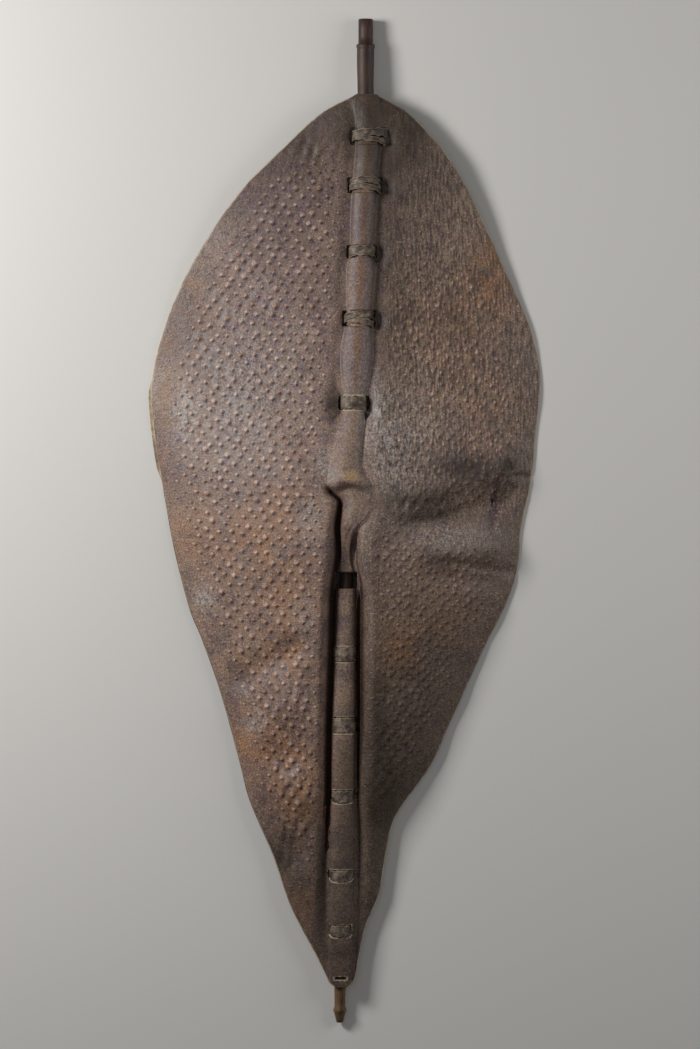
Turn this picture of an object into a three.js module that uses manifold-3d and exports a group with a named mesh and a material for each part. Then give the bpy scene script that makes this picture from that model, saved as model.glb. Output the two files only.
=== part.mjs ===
// Hide shield: a leaf-shaped sheet of moulded rawhide tied to a long stick with ten rawhide lashings.
// Millimetres, +Z up. The shield lies on its hollow back: its face is up and its rounded top points to +Y.
import * as THREE from 'three';
import { mergeVertices } from 'three/addons/utils/BufferGeometryUtils.js';
import Module from 'manifold-3d';

const wasm = await Module();
wasm.setup();

// Driving sizes of the sheet
const hideLength = 932;
const hideWidth = 406;
const hideThickness = 3;
const restRim = 3.2;
const topRimRise = 21;
const tipRimRise = 12;

// Driving sizes of the stick
const stickTopReach = 81;
const stickTipReach = 39;
const stickTopRadius = 9;
const stickTipRadius = 6;
const stickBow = 26;
const stubLength = 27;
const stubRadius = 7.6;
const collarLength = 4;
const collarProud = 0.8;
const bluntLength = 11;
const bluntRadius = 3.4;
const stickSides = 10;
const stickSteps = 22;

// Fits between the pieces
const ribSlack = 1.3;
const lashingClearance = 0.7;
const slitClearance = 0.5;

// The window over the stick and the slit of the tip strap
const windowPlace = 0.4559;
const windowLength = 17;
const windowWidth = 23;
const tipSlitInset = 8.5;
const tipSlitLength = 2.8;
const tipSlitWidth = 14;

// Grid of the sheet: rows between the stops along its length, columns in each stretch across it
const rowStops = [
  [0, 1], [0.004, 1], [0.011, 1], [0.027, 2], [0.0622, 2], [0.1245, 3], [0.2135, 2], [0.294, 3],
  [0.3734, 2], [0.43, 5], [0.5125, 4], [0.5525, 1], [0.559, 1], [0.5645, 1], [0.58, 4], [0.6546, 3],
  [0.749, 3], [0.824, 3], [0.899, 2], [0.954, 2],
  [1, 0],
];
const sheetColumns = 7;
const valleyColumns = 3;
const ribColumns = 4;

// Leaf outline: place as a share of the length from tip to top, edge as a share of half the width
const leftEdge = [
  [0, -0.05], [0.004, -0.08], [0.011, -0.095], [0.027, -0.13], [0.088, -0.276], [0.148, -0.374],
  [0.209, -0.493], [0.25, -0.542], [0.331, -0.645], [0.392, -0.744], [0.42, -0.798],
  [0.487, -0.879], [0.554, -0.936], [0.615, -0.983],
  [0.676, -1], [0.737, -0.936], [0.797, -0.823], [0.858, -0.655], [0.899, -0.512], [0.939, -0.325],
  [0.98, -0.118], [1, 0.056],
];
const rightEdge = [
  [0, 0.004], [0.004, 0.031], [0.011, 0.046], [0.031, 0.062], [0.068, 0.099], [0.103, 0.167],
  [0.148, 0.202], [0.191, 0.254], [0.248, 0.433], [0.295, 0.532], [0.382, 0.714],
  [0.432, 0.828], [0.473, 0.884], [0.514, 0.901],
  [0.574, 0.956], [0.635, 0.983], [0.686, 1], [0.737, 0.951], [0.797, 0.833], [0.858, 0.704],
  [0.899, 0.611], [0.939, 0.493], [0.98, 0.315], [1, 0.155],
];

// Line of the stick to the side, as shares of the length, both along it and across
const stickLine = [
  [-0.042, -0.0068], [0.125, -0.005], [0.374, -0.0011], [0.569, 0.0043], [0.749, 0.0145],
  [0.899, 0.0215], [0.954, 0.0257], [1, 0.0225], [1.087, 0.0225],
];

// Moulded relief, each a list of a place as a share of the length and a size in millimetres
const ribHalfWidth = [
  [0, 10.5], [0.0622, 12.6], [0.1245, 13], [0.17, 12.8], [0.2135, 11.9], [0.262, 12.2], [0.294, 12.2],
  [0.335, 11.8], [0.3734, 11.2], [0.42, 10.7], [0.442, 10.4], [0.4634, 8], [0.48, 5.5], [0.4955, 5.6],
  [0.5125, 7.6], [0.5235, 11.8], [0.535, 14.8], [0.546, 15.6], [0.5525, 19.5], [0.5575, 21], [0.5645, 22],
  [0.58, 17.5], [0.6025, 15], [0.625, 13.2], [0.6546, 11.8], [0.711, 16.6], [0.749, 13], [0.803, 14.8],
  [0.824, 12.2], [0.865, 13], [0.899, 12.8], [0.928, 12.6], [0.954, 13], [1, 14],
];
const ribShift = [
  [0, 0], [0.455, 0], [0.48, -1], [0.4955, -1], [0.5125, -0.3], [0.5235, 4], [0.535, 7.4], [0.546, 7.6],
  [0.5525, 4], [0.5575, 1.6], [0.5645, -0.5], [0.58, -4.5], [0.6025, -3.8], [0.625, -1.7], [0.645, 0],
  [1, 0],
];
const ribLift = [
  [0, 0], [0.44, 0], [0.4634, 0.8], [0.48, 2.6], [0.4955, 6], [0.5125, 12.2], [0.5235, 15.9],
  [0.535, 15.8], [0.546, 14.6], [0.553, 13.2], [0.559, 12.4], [0.5645, 18.8], [0.571, 20.5], [0.585, 17.4],
  [0.6025, 12], [0.625, 6.8], [0.645, 2.4], [0.66, 0.6], [0.68, 0], [1, 0],
];
const sheetLift = [
  [0, 9], [0.0622, 7], [0.1245, 9], [0.2135, 15], [0.294, 20], [0.3734, 25], [0.456, 28], [0.5225, 29],
  [0.576, 25], [0.63, 15], [0.683, 8], [0.749, 4.5], [0.824, 3.5], [0.899, 4.5], [0.954, 8],
  [0.975, 10.5], [1, 12.3],
];
const leftFloorLift = [
  [0, 9], [0.0622, 5], [0.1245, 2], [0.2135, 1], [0.42, 3], [0.445, 5], [0.4634, 10.5], [0.48, 11.5],
  [0.4955, 11.5], [0.5125, 11.5], [0.535, 11.5], [0.546, 12], [0.5525, 13], [0.557, 18], [0.5615, 25.4],
  [0.5645, 25.6], [0.58, 24.2], [0.6025, 19.8], [0.625, 14.5], [0.645, 9], [0.683, 6], [0.749, 3.5],
  [0.824, 2.5], [0.899, 3.5], [0.954, 7], [0.975, 10], [1, 12],
];
const rightFloorLift = [
  [0, 9], [0.0622, 5], [0.1245, 2], [0.2135, 1], [0.42, 3], [0.445, 5], [0.4634, 10.5], [0.48, 11.5],
  [0.4955, 12.5], [0.5045, 18], [0.5125, 24.4], [0.5205, 27.6], [0.535, 27.6], [0.546, 26.2],
  [0.553, 24.8], [0.559, 24.4], [0.5645, 26.2], [0.58, 23.4], [0.6025, 17.8], [0.625, 12.8], [0.645, 8.5],
  [0.683, 6], [0.749, 3.5], [0.824, 2.5], [0.899, 3.5], [0.954, 7], [0.975, 10], [1, 12],
];
const leftValleyFloor = [
  [0, 4], [0.48, 4], [0.51, 3.5], [0.535, 2.5], [0.56, 2], [0.6, 6], [1, 6],
];
const leftValleyWall = [
  [0, 13], [0.48, 13], [0.51, 12], [0.535, 10], [0.57, 9], [0.62, 8], [1, 8],
];
const rightValleyFloor = [[0, 4.5], [1, 4.5]];
const rightValleyWall = [[0, 15], [0.42, 16], [0.47, 9], [0.53, 9], [0.56, 20], [1, 20]];
const noseArchSag = 11;
const sheetRoundness = 1.75;
const rimFlat = 30;

// How softly the rib's sides meet the sheet, from 0.5 for a round rib
const leftSoftness = [
  [0, 0.5], [0.54, 0.5], [0.557, 1], [0.575, 1.4], [0.61, 1.3], [0.64, 0.7], [0.66, 0.5], [0.955, 0.5],
  [0.975, 1.3], [1, 1.4],
];
const rightSoftness = [
  [0, 0.5], [0.515, 0.5], [0.54, 1.1], [0.562, 1.1], [0.58, 0.6], [0.6, 0.5], [0.955, 0.5], [0.975, 1.3],
  [1, 1.4],
];

// Broad folds of the sheet: a line from one place to another, each as shares of the length and of half the
// width, with the height in millimetres and the half width of the fold in millimetres
const folds = [
  { from: [0.518, 0.36], to: [0.553, 0.9], height: -8, spread: 13 },
  { from: [0.566, 0.42], to: [0.585, 0.9], height: 4.5, spread: 17 },
  { from: [0.488, 0.38], to: [0.492, 0.86], height: 6, spread: 15 },
  { from: [0.55, 0.17], to: [0.455, 0.11], height: 2.5, spread: 9 },
  { from: [0.462, 0.46], to: [0.452, 0.86], height: -2.5, spread: 11 },
  { from: [0.337, -0.6], to: [0.388, -0.2], height: -5.5, spread: 15 },
  { from: [0.29, -0.46], to: [0.325, -0.22], height: 4.5, spread: 17 },
  { from: [0.255, -0.42], to: [0.262, -0.2], height: -3, spread: 13 },
  { from: [0.235, -0.3], to: [0.2, -0.2], height: 3.5, spread: 15 },
  { from: [0.16, -0.36], to: [0.145, -0.2], height: -3.5, spread: 15 },
];

// Lashings from the top: place along the sheet, width of the band, its side reach past the rib, how far its
// edges curl up, the dark holes to the left and right of it, and how far its lower edge draws in at its ends
const lashings = [
  { place: 0.954, width: 17, reach: 1.5, curl: 1.2, holeLeft: 0.5, holeRight: 1.2, draw: 0 },
  { place: 0.899, width: 15, reach: 0.8, curl: 1.2, holeLeft: 0.5, holeRight: 1.2, draw: 0 },
  { place: 0.824, width: 12, reach: -0.8, curl: 0.8, holeLeft: 1, holeRight: 1.5, draw: 0 },
  { place: 0.749, width: 15, reach: -0.3, curl: 1.2, holeLeft: 0.5, holeRight: 1.5, draw: 0 },
  { place: 0.6546, width: 14, reach: -0.6, curl: 0.6, holeLeft: 2, holeRight: 2.5, draw: 0 },
  { place: 0.3734, width: 15, reach: -1.2, curl: 0, holeLeft: 0, holeRight: 0, draw: 0 },
  { place: 0.294, width: 16, reach: -2, curl: 0, holeLeft: 0, holeRight: 0, draw: 0 },
  { place: 0.2135, width: 13, reach: -2.6, curl: 0, holeLeft: 0, holeRight: 0, draw: 0.7 },
  { place: 0.1245, width: 12, reach: -2.8, curl: 0, holeLeft: 0, holeRight: 0, draw: 0.8 },
  { place: 0.0622, width: 12.5, reach: -3.2, curl: 0, holeLeft: 0, holeRight: 0, draw: 0.6 },
];
const lashingThickness = 1.8;
const lashingSteps = 16;

// A smooth function that passes through a short list of places and values
function through(pairs) {
  const last = pairs.length - 1;
  const slope = (k) => {
    const before = pairs[Math.max(k - 1, 0)];
    const after = pairs[Math.min(k + 1, last)];
    return (after[1] - before[1]) / (after[0] - before[0]);
  };
  return (place) => {
    if (place <= pairs[0][0]) return pairs[0][1];
    if (place >= pairs[last][0]) return pairs[last][1];
    const k = pairs.findIndex((pair) => pair[0] > place) - 1;
    const span = pairs[k + 1][0] - pairs[k][0];
    const s = (place - pairs[k][0]) / span;
    const rise = pairs[k + 1][1] - pairs[k][1];
    const bend = (slope(k) + slope(k + 1)) * span - 2 * rise;
    const start = 3 * rise - (2 * slope(k) + slope(k + 1)) * span;
    return pairs[k][1] + slope(k) * span * s + start * s * s + bend * s * s * s;
  };
}

const leftEdgeAt = through(leftEdge);
const rightEdgeAt = through(rightEdge);
const stickLineAt = through(stickLine);
const ribHalfWidthAt = through(ribHalfWidth);
const ribShiftAt = through(ribShift);
const ribLiftAt = through(ribLift);
const sheetLiftAt = through(sheetLift);
const leftSide = {
  floor: through(leftFloorLift),
  floorWidth: through(leftValleyFloor),
  wall: through(leftValleyWall),
  softness: through(leftSoftness),
};
const rightSide = {
  floor: through(rightFloorLift),
  floorWidth: through(rightValleyFloor),
  wall: through(rightValleyWall),
  softness: through(rightSoftness),
};

// 0 before the start and 1 after the end, with a soft change between them
function ease(value, start, end) {
  const s = THREE.MathUtils.clamp((value - start) / (end - start), 0, 1);
  return s * s * (3 - 2 * s);
}

// The stick: its radius and the middle of its section at a distance along the sheet from the tip edge
const stickStart = -stickTipReach;
const stickEnd = hideLength + stickTopReach;

function stickRadius(y) {
  return THREE.MathUtils.mapLinear(y, stickStart, stickEnd, stickTipRadius, stickTopRadius);
}

function stickX(y) {
  return stickLineAt(y / hideLength) * hideLength;
}

function stickZ(y) {
  const fromMiddle = (2 * (y - stickStart)) / (stickEnd - stickStart) - 1;
  return stickRadius(y) + stickBow * (1 - fromMiddle * fromMiddle);
}

// The sheet: everything about its section across the rib at one distance along it
function section(y) {
  const place = y / hideLength;
  const middle = stickX(y) + ribShiftAt(place);
  const halfWidth = ribHalfWidthAt(place);
  return {
    place,
    middle,
    halfWidth,
    leftFloor: stickZ(y) + leftSide.floor(place),
    rightFloor: stickZ(y) + rightSide.floor(place),
    leftLip: halfWidth + leftSide.floorWidth(place) + leftSide.wall(place),
    rightLip: halfWidth + rightSide.floorWidth(place) + rightSide.wall(place),
    crest: stickZ(y) + sheetLiftAt(place),
    left: (leftEdgeAt(place) * hideWidth) / 2,
    right: (rightEdgeAt(place) * hideWidth) / 2,
    rim: restRim + topRimRise * ease(place, 0.7, 1.02) + tipRimRise * ease(0.55 - place, 0, 0.6),
  };
}

function ribTop(y) {
  return stickZ(y) + stickRadius(y) + ribSlack + hideThickness + ribLiftAt(y / hideLength);
}

function foldHeight(x, y) {
  let sum = 0;
  for (const fold of folds) {
    const start = new THREE.Vector2((fold.from[1] * hideWidth) / 2, fold.from[0] * hideLength);
    const run = new THREE.Vector2((fold.to[1] * hideWidth) / 2, fold.to[0] * hideLength).sub(start);
    const offset = new THREE.Vector2(x, y).sub(start);
    const along = offset.dot(run) / run.lengthSq();
    const across = offset.cross(run) / run.length() / fold.spread;
    const fade = ease(along, -0.25, 0.2) * ease(-along, -1.25, -0.8);
    sum += fold.height * fade * Math.exp(-across * across);
  }
  return sum;
}

// Height of the face of the sheet
function faceZ(x, y) {
  const cut = section(y);
  const side = x - cut.middle;
  const isLeft = side < 0;
  const valleySide = isLeft ? leftSide : rightSide;
  const floor = isLeft ? cut.leftFloor : cut.rightFloor;
  const floorEnd = cut.halfWidth + valleySide.floorWidth(cut.place);
  const lip = isLeft ? cut.leftLip : cut.rightLip;
  const edge = isLeft ? cut.middle - cut.left : cut.right - cut.middle;
  const reach = Math.abs(side);
  const spread = Math.min(reach / Math.max(edge, 1), 1);
  const sheet = cut.rim + (cut.crest - cut.rim) * (1 - spread ** sheetRoundness);
  const drop = 1 - THREE.MathUtils.clamp((reach - floorEnd) / (Math.min(lip, edge) - floorEnd), 0, 1);
  const depth = Math.max(cut.crest - floor, 0) * drop * drop;
  const foldShare = ease(reach, lip * 0.7, lip * 1.6) * ease(edge - reach, 0, rimFlat);
  const valley = sheet - depth + foldHeight(x, y) * foldShare;
  const share = reach / cut.halfWidth;
  if (share >= 1) return valley;
  const top = ribTop(y + noseArchSag * share * share);
  return Math.max(valley, floor + (top - floor) * (1 - share * share) ** valleySide.softness(cut.place));
}

function faceNormal(x, y) {
  const step = 0.8;
  const dx = (faceZ(x + step, y) - faceZ(x - step, y)) / (2 * step);
  const dy = (faceZ(x, y + step) - faceZ(x, y - step)) / (2 * step);
  return new THREE.Vector3(-dx, -dy, 1).normalize();
}

// Distances along the sheet of its rows of corners
function rowPlaces() {
  const rows = [];
  rowStops.forEach(([start, count], k) => {
    for (let n = 0; n < count; n += 1) {
      rows.push((start + ((rowStops[k + 1][0] - start) * n) / count) * hideLength);
    }
  });
  rows.push(hideLength);
  return rows;
}

// Places across the sheet of its columns of corners, at one distance along it
function columnPlaces(y) {
  const cut = section(y);
  const spots = [];
  const stretch = (from, to, count) => {
    for (let n = 0; n < count; n += 1) spots.push(from + ((to - from) * n) / count);
  };
  const leftRoom = cut.middle - cut.left;
  const rightRoom = cut.right - cut.middle;
  const rib = cut.halfWidth;
  const leftLip = Math.min(cut.leftLip, leftRoom * 0.62 + rib * 0.2);
  const rightLip = Math.min(cut.rightLip, rightRoom * 0.62 + rib * 0.2);
  const leftRib = Math.min(rib, leftRoom * 0.42);
  const rightRib = Math.min(rib, rightRoom * 0.42);
  stretch(cut.left, cut.middle - leftLip, sheetColumns);
  stretch(cut.middle - leftLip, cut.middle - leftRib, valleyColumns);
  for (let n = 0; n <= 2 * ribColumns; n += 1) {
    const turn = Math.sin((Math.PI / 2) * (n / ribColumns - 1));
    spots.push(cut.middle + turn * (n < ribColumns ? leftRib : rightRib));
  }
  stretch(cut.middle + rightRib, cut.middle + rightLip, valleyColumns);
  stretch(cut.middle + rightLip, cut.right, sheetColumns);
  spots.splice(sheetColumns + valleyColumns + 2 * ribColumns + 1, 1);
  spots.push(cut.right);
  return spots;
}

// A mesh of three.js as a solid that can be cut and joined, and back again
function toSolid(geometry) {
  geometry.deleteAttribute('normal');
  geometry.deleteAttribute('uv');
  const merged = mergeVertices(geometry);
  const vertProperties = new Float32Array(merged.attributes.position.array);
  const triVerts = new Uint32Array(merged.index.array);
  return new wasm.Manifold(new wasm.Mesh({ numProp: 3, vertProperties, triVerts }));
}

function toGeometry(solid) {
  const mesh = solid.getMesh();
  const geometry = new THREE.BufferGeometry();
  geometry.setAttribute('position', new THREE.BufferAttribute(new Float32Array(mesh.vertProperties), 3));
  geometry.setIndex(new THREE.BufferAttribute(new Uint32Array(mesh.triVerts), 1));
  geometry.computeVertexNormals();
  return geometry;
}

function moveCorners(geometry, place) {
  const corners = geometry.attributes.position;
  const corner = new THREE.Vector3();
  for (let n = 0; n < corners.count; n += 1) {
    corner.fromBufferAttribute(corners, n);
    place(corner);
    corners.setXYZ(n, corner.x, corner.y, corner.z);
  }
  return geometry;
}

// The uncut sheet: a flat box of many small faces, bent into the moulded leaf
function sheetGeometry() {
  const rows = rowPlaces();
  const columns = rows.map(columnPlaces);
  const rowCount = rows.length - 1;
  const columnCount = columns[0].length - 1;
  const box = new THREE.BoxGeometry(1, 1, 1, columnCount, rowCount, 1);
  return moveCorners(box, (corner) => {
    const row = Math.round((corner.y + 0.5) * rowCount);
    const x = columns[row][Math.round((corner.x + 0.5) * columnCount)];
    const y = rows[row];
    const depth = corner.z > 0 ? 0 : -hideThickness;
    const normal = faceNormal(x, y);
    corner.set(x, y, faceZ(x, y)).addScaledVector(normal, depth);
  });
}

// A band round rib and stick: the lashing itself, or grown by a clearance, with its holes, to cut the sheet
function bandGeometry(lashing, grow) {
  const y = lashing.place * hideLength;
  const cut = section(y);
  const floor = Math.min(cut.leftFloor, cut.rightFloor);
  const inner = lashingClearance - grow;
  const outer = lashingClearance + lashingThickness + grow;
  const half = lashing.width / 2;
  const tip = outer + lashing.curl;
  const curl = grow > 0 ? 0 : lashing.curl;
  const slitOutline = [[tip, -half, 0], [tip, -half / 2, 1], [tip, half / 2, 1], [tip, half, 0]];
  const outline = grow > 0 ? slitOutline : [[tip, -half, 0], [outer, 0, 0], [tip, half, 0]];
  outline.push([inner + curl, half, 0], [inner, 0, 0], [inner + curl, -half, 0]);
  const corners = curl > 1 ? outline : outline.filter((point) => point[1] !== 0);
  const ring = new THREE.TorusGeometry(2, 1, corners.length, lashingSteps);
  const sideways = cut.halfWidth + lashing.reach;
  const upwards = ribTop(y) - floor;
  const downwards = floor - stickZ(y) + stickRadius(y);
  const spots = ring.attributes.position;
  for (let n = 0; n < spots.count; n += 1) {
    const [away, along, bulge] = corners[Math.floor(n / (lashingSteps + 1)) % corners.length];
    const turn = (2 * Math.PI * (n % (lashingSteps + 1))) / lashingSteps;
    const across = Math.cos(turn);
    const up = Math.sin(turn);
    const out = away + bulge * Math.abs(across) * (across > 0 ? lashing.holeRight : lashing.holeLeft);
    const draw = along > 0 ? lashing.draw * (1 - Math.sqrt(Math.max(up, 0))) : 0;
    const x = cut.middle + (sideways + out) * across;
    const z = floor + ((up > 0 ? upwards : downwards) + out) * up;
    const down = along * (1 - draw) + Math.sign(along) * grow;
    spots.setXYZ(n, x, y - down, Math.abs(turn - 2 * Math.PI) < 1e-6 ? floor : z);
  }
  return ring;
}

function blockSolid(width, length, height, x, y, z) {
  return toSolid(new THREE.BoxGeometry(width, length, height).translate(x, y, z));
}

// The sheet with the slits of the lashings, the window and the slit of the tip strap cut through it
function hideGeometry() {
  let hide = toSolid(sheetGeometry());
  for (const lashing of lashings) {
    hide = hide.subtract(toSolid(bandGeometry(lashing, slitClearance)));
  }
  const windowY = windowPlace * hideLength;
  const windowX = stickX(windowY);
  const above = hideThickness * 8;
  const windowZ = stickZ(windowY) + above / 2;
  hide = hide.subtract(blockSolid(windowWidth, windowLength, above, windowX, windowY, windowZ));
  const slitZ = stickZ(tipSlitInset);
  const slitX = stickX(tipSlitInset);
  hide = hide.subtract(blockSolid(tipSlitWidth, tipSlitLength, above * 2, slitX, tipSlitInset, slitZ));
  return toGeometry(hide);
}

// The stick: a turned outline from its blunt tip to the stub at its top, bent along its line
function stickGeometry() {
  const outline = [new THREE.Vector2(0, stickStart), new THREE.Vector2(bluntRadius, stickStart)];
  const collarStart = stickStart + bluntLength;
  const collarEnd = collarStart + collarLength;
  outline.push(new THREE.Vector2(stickRadius(collarStart), collarStart));
  outline.push(new THREE.Vector2(stickRadius(collarStart) + collarProud, collarStart + collarLength / 4));
  outline.push(new THREE.Vector2(stickRadius(collarEnd) + collarProud, collarEnd));
  const shaftStart = collarEnd + collarLength / 2;
  const shaftEnd = stickEnd - stubLength - collarLength;
  for (let n = 0; n <= stickSteps; n += 1) {
    const y = shaftStart + ((shaftEnd - shaftStart) * n) / stickSteps;
    outline.push(new THREE.Vector2(stickRadius(y), y));
  }
  outline.push(new THREE.Vector2(stickRadius(shaftEnd) + collarProud, shaftEnd + collarLength / 4));
  outline.push(new THREE.Vector2(stickRadius(shaftEnd) + collarProud, shaftEnd + collarLength));
  outline.push(new THREE.Vector2(stubRadius, stickEnd - stubLength + collarLength / 4));
  outline.push(new THREE.Vector2(stubRadius, stickEnd), new THREE.Vector2(0, stickEnd));
  const stick = new THREE.LatheGeometry(outline, stickSides);
  return moveCorners(stick, (corner) => {
    const y = corner.y;
    corner.set(corner.x + stickX(y), y, corner.z + stickZ(y));
  });
}

function namedMesh(name, geometry, color, roughness) {
  const material = new THREE.MeshStandardMaterial({ color, roughness, metalness: 0 });
  const mesh = new THREE.Mesh(geometry, material);
  mesh.name = name;
  return mesh;
}

const shield = new THREE.Group();
shield.add(namedMesh('hide', hideGeometry(), 0x6f5c4e, 0.6));
shield.add(namedMesh('stick', stickGeometry(), 0x5a3a26, 0.45));
lashings.forEach((lashing, n) => {
  const name = `lashing_${String(n + 1).padStart(2, '0')}`;
  shield.add(namedMesh(name, toGeometry(toSolid(bandGeometry(lashing, 0))), 0x66523f, 0.6));
});

// The origin is the middle of the underside of the box round the whole shield
const box = new THREE.Box3().setFromObject(shield, true);
shield.position.set(-(box.min.x + box.max.x) / 2, -(box.min.y + box.max.y) / 2, -box.min.z);

const group = new THREE.Group();
group.add(shield);

export default group;
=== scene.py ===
import math
from functools import partial

import bmesh
import bpy
import numpy as np
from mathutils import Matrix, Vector


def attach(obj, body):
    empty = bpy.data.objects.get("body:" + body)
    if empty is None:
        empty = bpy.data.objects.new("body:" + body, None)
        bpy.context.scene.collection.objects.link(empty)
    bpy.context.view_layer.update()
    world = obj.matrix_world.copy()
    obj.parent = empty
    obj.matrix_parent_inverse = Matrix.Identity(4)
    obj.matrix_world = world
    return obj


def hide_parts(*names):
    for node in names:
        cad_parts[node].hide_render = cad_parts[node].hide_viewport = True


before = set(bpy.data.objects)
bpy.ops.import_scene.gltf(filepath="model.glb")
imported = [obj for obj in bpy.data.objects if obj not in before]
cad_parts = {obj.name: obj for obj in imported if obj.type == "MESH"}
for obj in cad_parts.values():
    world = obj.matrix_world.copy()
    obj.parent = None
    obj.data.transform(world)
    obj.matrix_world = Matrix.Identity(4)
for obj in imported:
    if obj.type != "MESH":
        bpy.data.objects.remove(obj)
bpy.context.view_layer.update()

MM = 0.001
FULL_TURN = 2 * math.pi

# Where the middle of the tip edge lies in the frame, in millimetres; all shapes are worked out from there
TIP_IN_FRAME = np.array([0.126, -487.0, -0.234])

# The sheet, in millimetres
HIDE_LENGTH = 932.0
HIDE_WIDTH = 406.0
HIDE_THICKNESS = 3.0
REST_RIM = 3.2
TOP_RIM_RISE = 21.0
TIP_RIM_RISE = 12.0

# The stick, in millimetres
STICK_TOP_REACH = 81.0
STICK_TIP_REACH = 39.0
STICK_TOP_RADIUS = 9.0
STICK_TIP_RADIUS = 6.0
STICK_BOW = 26.0
STUB_LENGTH = 27.0
STUB_RADIUS = 7.6
COLLAR_LENGTH = 4.0
COLLAR_PROUD = 0.8
BLUNT_LENGTH = 11.0
BLUNT_RADIUS = 3.4

# Fits between the pieces, in millimetres
RIB_SLACK = 1.3
LASHING_CLEARANCE = 0.7
SLIT_CLEARANCE = 0.5
LASHING_THICKNESS = 1.8

# The window over the stick and the slit of the tip strap
WINDOW_PLACE = 0.4559
WINDOW_LENGTH = 17.0
WINDOW_WIDTH = 23.0
TIP_SLIT_INSET = 8.5
TIP_SLIT_LENGTH = 2.8
TIP_SLIT_WIDTH = 14.0

# Leaf outline: place as a share of the length from tip to top, edge as a share of half the width
LEFT_EDGE = [
    (0, -0.05), (0.004, -0.08), (0.011, -0.095), (0.027, -0.13), (0.088, -0.276), (0.148, -0.374),
    (0.209, -0.493), (0.25, -0.542), (0.331, -0.645), (0.392, -0.744), (0.42, -0.798),
    (0.487, -0.879), (0.554, -0.936), (0.615, -0.983),
    (0.676, -1), (0.737, -0.936), (0.797, -0.823), (0.858, -0.655), (0.899, -0.512), (0.939, -0.325),
    (0.98, -0.118), (1, 0.056),
]
RIGHT_EDGE = [
    (0, 0.004), (0.004, 0.031), (0.011, 0.046), (0.031, 0.062), (0.068, 0.099), (0.103, 0.167),
    (0.148, 0.202), (0.191, 0.254),
    (0.248, 0.433), (0.295, 0.532), (0.382, 0.714), (0.432, 0.828), (0.473, 0.884), (0.514, 0.901),
    (0.574, 0.956), (0.635, 0.983), (0.686, 1), (0.737, 0.951), (0.797, 0.833), (0.858, 0.704),
    (0.899, 0.611), (0.939, 0.493), (0.98, 0.315), (1, 0.155),
]
STICK_LINE = [
    (-0.042, -0.0068), (0.125, -0.005), (0.374, -0.0011), (0.569, 0.0043), (0.749, 0.0145),
    (0.899, 0.0215), (0.954, 0.0257), (1, 0.0225), (1.087, 0.0225),
]

# Moulded relief: place as a share of the length, size in millimetres
RIB_HALF_WIDTH = [
    (0, 10.5), (0.0622, 12.6), (0.1245, 13), (0.17, 12.8), (0.2135, 11.9), (0.262, 12.2), (0.294, 12.2),
    (0.335, 11.8), (0.3734, 11.2), (0.42, 10.7), (0.442, 10.4), (0.4634, 8), (0.48, 5.5), (0.4955, 5.6),
    (0.5125, 7.6), (0.5235, 11.8), (0.535, 14.8), (0.546, 15.6), (0.5525, 19.5), (0.5575, 21),
    (0.5645, 22), (0.58, 17.5), (0.6025, 15), (0.625, 13.2), (0.6546, 11.8), (0.711, 16.6), (0.749, 13),
    (0.803, 14.8), (0.824, 12.2), (0.865, 13), (0.899, 12.8), (0.928, 12.6), (0.954, 13), (1, 14),
]
RIB_SHIFT = [
    (0, 0), (0.455, 0), (0.48, -1), (0.4955, -1), (0.5125, -0.3), (0.5235, 4), (0.535, 7.4), (0.546, 7.6),
    (0.5525, 4), (0.5575, 1.6), (0.5645, -0.5), (0.58, -4.5), (0.6025, -3.8), (0.625, -1.7), (0.645, 0),
    (1, 0),
]
RIB_LIFT = [
    (0, 0), (0.44, 0), (0.4634, 0.8), (0.48, 2.6), (0.4955, 6), (0.5125, 12.2), (0.5235, 15.9),
    (0.535, 15.8), (0.546, 14.6), (0.553, 13.2), (0.559, 12.4), (0.5645, 18.8), (0.571, 20.5),
    (0.585, 17.4), (0.6025, 12), (0.625, 6.8), (0.645, 2.4), (0.66, 0.6), (0.68, 0), (1, 0),
]
SHEET_LIFT = [
    (0, 9), (0.0622, 7), (0.1245, 9), (0.2135, 15), (0.294, 20), (0.3734, 25), (0.456, 28), (0.5225, 29),
    (0.576, 25), (0.63, 15), (0.683, 8), (0.749, 4.5), (0.824, 3.5), (0.899, 4.5), (0.954, 8),
    (0.975, 10.5), (1, 12.3),
]
LEFT_FLOOR_LIFT = [
    (0, 9), (0.0622, 5), (0.1245, 2), (0.2135, 1), (0.42, 3), (0.445, 5), (0.4634, 10.5), (0.48, 11.5),
    (0.4955, 11.5), (0.5125, 11.5), (0.535, 11.5), (0.546, 12), (0.5525, 13), (0.557, 18), (0.5615, 25.4),
    (0.5645, 25.6), (0.58, 24.2), (0.6025, 19.8), (0.625, 14.5), (0.645, 9), (0.683, 6), (0.749, 3.5),
    (0.824, 2.5), (0.899, 3.5), (0.954, 7), (0.975, 10), (1, 12),
]
RIGHT_FLOOR_LIFT = [
    (0, 9), (0.0622, 5), (0.1245, 2), (0.2135, 1), (0.42, 3), (0.445, 5), (0.4634, 10.5), (0.48, 11.5),
    (0.4955, 12.5), (0.5045, 18), (0.5125, 24.4), (0.5205, 27.6), (0.535, 27.6), (0.546, 26.2),
    (0.553, 24.8), (0.559, 24.4), (0.5645, 26.2), (0.58, 23.4), (0.6025, 17.8), (0.625, 12.8),
    (0.645, 8.5), (0.683, 6), (0.749, 3.5), (0.824, 2.5), (0.899, 3.5), (0.954, 7), (0.975, 10), (1, 12),
]
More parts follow.
